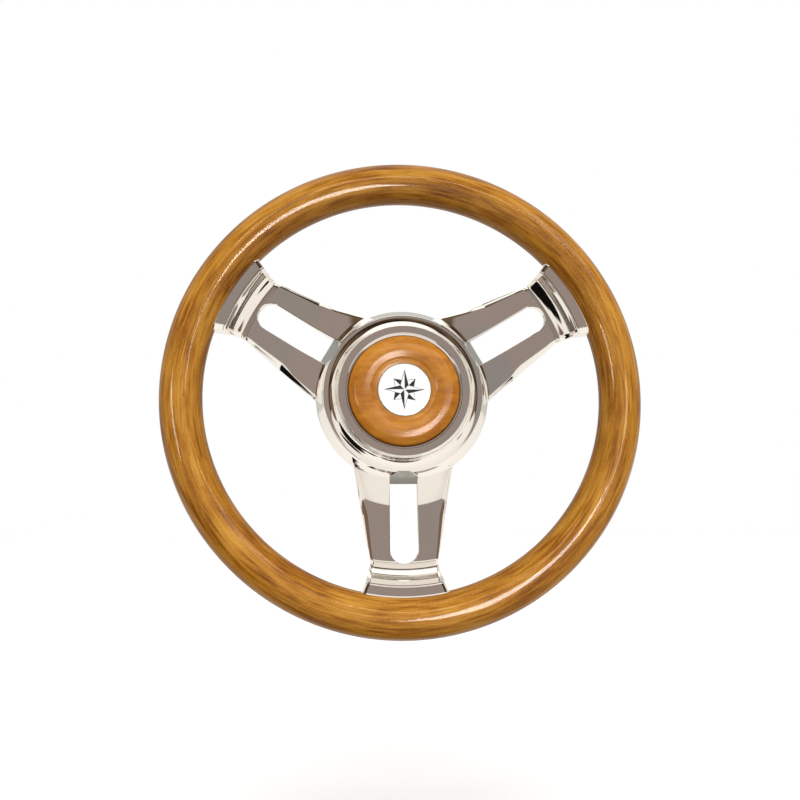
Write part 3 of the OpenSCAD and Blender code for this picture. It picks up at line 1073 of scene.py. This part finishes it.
def make_floor():
    """A pale floor that throws no light back at the wheel, with an overhead light of its own."""
    bm = bmesh.new()
    bmesh.ops.create_grid(bm, x_segments=1, y_segments=1, size=FLOOR_HALF)
    for v in bm.verts:
        v.co.z = FLOOR_Z
    mesh = bpy.data.meshes.new("floor")
    bm.to_mesh(mesh)
    bm.free()
    n = Nodes(bpy.data.materials.new("pale_floor"))
    n.set(base_color=n.ramp(n.noise(n.point(), 3.0, 2.0), [(0.3, 0.92), (0.7, 0.94)]))
    n.shader.inputs["Roughness"].default_value = 0.9
    mesh.materials.append(n.owner)
    floor = bpy.data.objects.new("floor", mesh)
    bpy.context.scene.collection.objects.link(floor)
    floor.visible_diffuse = False
    floor.visible_glossy = False
    overhead = bpy.data.lights.new("floor_light", "SUN")
    overhead.energy = 1.5
    overhead.angle = math.radians(60)
    add_lamp(overhead, group("floor_lit", [floor]))


WARM_WHITE = (1.0, 0.93, 0.84)
# name, azimuth, elevation, distance in metres, width and height in degrees, radiance, colour
WINDOWS = [
    ("low_window", 12, -9, 0.75, 13, 24, 62.0, (1.0, 0.95, 0.90)),
    ("left_window", -41, 4, 1.1, 7, 16, 34.0, WARM_WHITE),
    ("right_window", 26, 4, 1.1, 6, 14, 24.0, WARM_WHITE),
    ("high_right", 40, 36, 1.1, 18, 22, 7.0, WARM_WHITE),
    ("high_strip", 3, 30, 1.1, 44, 3.5, 18.0, (1.0, 0.90, 0.86)),
]


def make_window(lit, name, azimuth, elevation, distance, width, height, radiance, colour):
    """A rectangular lamp aimed at the hub. It only adds highlights: no diffuse light."""
    data = bpy.data.lights.new(name, "AREA")
    data.shape = "RECTANGLE"
    data.size = 2 * distance * math.tan(math.radians(width / 2))
    data.size_y = 2 * distance * math.tan(math.radians(height / 2))
    data.energy = radiance * math.pi * data.size * data.size_y
    data.color = colour
    lamp = add_lamp(data, lit)
    ray = aim_vector(azimuth, elevation)
    lamp.location = Vector((0, RIM_Y * MM, 0)) + ray * distance
    lamp.rotation_mode = "QUATERNION"
    lamp.rotation_quaternion = (-ray).to_track_quat("-Z", "Z")
    lamp.visible_camera = False
    lamp.visible_diffuse = False


# ------------------------------------------------------------------ world

WALL_AZIMUTH = 3
WALL_ELEVATION = 9
WALL_NARROWING = 0.55
SHADE_ELEVATION = 26
BLACK_OBJECT = (0.006, 0.005, 0.005)
BROWN_OBJECT = (0.20, 0.125, 0.085)
# what else stands in the room: azimuth, elevation, radius in degrees, colour
ROOM_PATCHES = [
    (-56, 2, 18, BROWN_OBJECT), (63, 2, 16, BROWN_OBJECT),
    (-27, -18, 11, BLACK_OBJECT), (-47, -31, 17, BLACK_OBJECT), (-66, -28, 17, BLACK_OBJECT),
    (-72, -44, 15, BLACK_OBJECT), (-75, -58, 13, BLACK_OBJECT), (66, -26, 7, BLACK_OBJECT),
]


def half_turns(degrees):
    return degrees / 180.0


def angle_from(n, direction, azimuth, elevation):
    """Angle, in half turns, between the direction and a given one."""
    node = n.add("ShaderNodeVectorMath", operation="DOT_PRODUCT")
    n.link(direction, node.inputs[0])
    node.inputs[1].default_value = aim_vector(azimuth, elevation)
    return n.math("DIVIDE", n.math("ARCCOSINE", node.outputs["Value"]), math.pi)


def front_of_room(n, direction, x, z):
    """A wide grey wall behind the camera with uneven shade round it."""
    wall = n.ramp(x, [(0.0, (0.330, 0.268, 0.240)), (0.4, (0.285, 0.265, 0.250))])
    shade = n.ramp(n.noise(direction, 3.0, 3.0), [(0.35, (0.012, 0.007, 0.004)),
                                                  (0.55, (0.085, 0.050, 0.028)),
                                                  (0.75, (0.30, 0.22, 0.12))])
    across = n.math("SUBTRACT", x, math.sin(math.radians(WALL_AZIMUTH)))
    across = n.math("MULTIPLY", across, WALL_NARROWING)
    up = n.math("SUBTRACT", z, math.sin(math.radians(WALL_ELEVATION)))
    reach = n.math("SQRT", n.math("MULTIPLY_ADD", across, across, n.math("MULTIPLY", up, up)))
    in_wall = n.ramp(reach, [(0.325, 1.0), (0.345, 0.0)])
    return n.mix(in_wall, shade, wall)


def room_colour(n, direction, x, z):
    """The room that the polish mirrors: grey wall and shade in front, cream walls at the
    sides, pale grey at the back, a white table, a white ceiling, and a few dark objects."""
    side = n.ramp(angle_from(n, direction, WALL_AZIMUTH, WALL_ELEVATION),
                  [(half_turns(56), (1.02, 0.95, 0.84)), (half_turns(100), (0.95, 0.90, 0.82)),
                   (half_turns(112), (0.66, 0.67, 0.64)), (half_turns(160), (0.60, 0.60, 0.585))])
    in_front = n.ramp(angle_from(n, direction, WALL_AZIMUTH, SHADE_ELEVATION),
                      [(half_turns(56), 1.0), (half_turns(62), 0.0)])
    room = n.mix(in_front, side, front_of_room(n, direction, x, z))
    below = n.math("MULTIPLY", z, -1.0)
    table = n.ramp(below, [(0.0, (0.70, 0.64, 0.60)), (0.05, (0.97, 0.92, 0.86)),
                           (0.93, (1.1, 1.06, 1.0)), (0.955, (0.07, 0.035, 0.02))])
    room = n.mix(n.ramp(below, [(0.0, 0.0), (0.012, 1.0)]), room, table)
    room = n.mix(n.ramp(z, [(0.86, 0.0), (0.91, 1.0)]), room, (1.35, 1.32, 1.26))
    ragged = n.math("MULTIPLY", n.noise(direction, 6.0, 3.0), 0.05)
    for azimuth, elevation, size, colour in ROOM_PATCHES:
        near = n.math("ADD", angle_from(n, direction, azimuth, elevation), ragged)
        patch = n.ramp(near, [(half_turns(size), 1.0), (half_turns(size + 2), 0.0)])
        room = n.mix(patch, room, colour)
    return room


FILL_TO_RIGHT, FILL_UP, FILL_TO_FRONT = 0.06, 0.22, 0.36


def fill_colour(n, x, y, z):
    """Soft light that is strongest from the front and above, weaker from behind."""
    key = n.math("MULTIPLY_ADD", x, FILL_TO_RIGHT, n.math("MULTIPLY_ADD", z, FILL_UP, 0.5))
    key = n.math("MULTIPLY_ADD", y, -FILL_TO_FRONT, key)
    return n.ramp(key, [(0.0, (0.60, 0.58, 0.56)), (0.3, (0.13, 0.10, 0.08)),
                        (0.54, (0.12, 0.09, 0.07)), (0.66, (0.45, 0.43, 0.41)),
                        (0.8, (1.46, 1.46, 1.46)), (1.0, (2.3, 2.3, 2.3))])


def background(n, colour):
    node = n.add("ShaderNodeBackground")
    n.put(node.inputs["Color"], colour)
    return node.outputs[0]


def choose(n, flag, otherwise, chosen):
    node = n.add("ShaderNodeMixShader")
    for socket, value in zip(node.inputs, (flag, otherwise, chosen)):
        n.link(value, socket)
    return node.outputs[0]


def make_world():
    """White to the eye, a drawn room in the polish, and a soft fill for everything else."""
    world = bpy.data.worlds.new("studio")
    bpy.context.scene.world = world
    n = Nodes(world)
    n.tree.nodes.clear()
    direction = n.add("ShaderNodeTexCoord").outputs["Generated"]
    x, y, z = n.split(direction)
    path = n.add("ShaderNodeLightPath")
    fill = background(n, fill_colour(n, x, y, z))
    room = background(n, room_colour(n, direction, x, z))
    white = background(n, (1.0, 1.0, 1.0, 1.0))
    lighting = choose(n, path.outputs["Is Glossy Ray"], fill, room)
    seen = choose(n, path.outputs["Is Camera Ray"], lighting, white)
    n.link(seen, n.add("ShaderNodeOutputWorld").inputs["Surface"])


make_camera()
make_floor()
make_world()
window_lit = group("lamp_lit", [rim, cap, emblem])
for window in WINDOWS:
    make_window(window_lit, *window)

bpy.context.scene.view_settings.view_transform = "Standard"
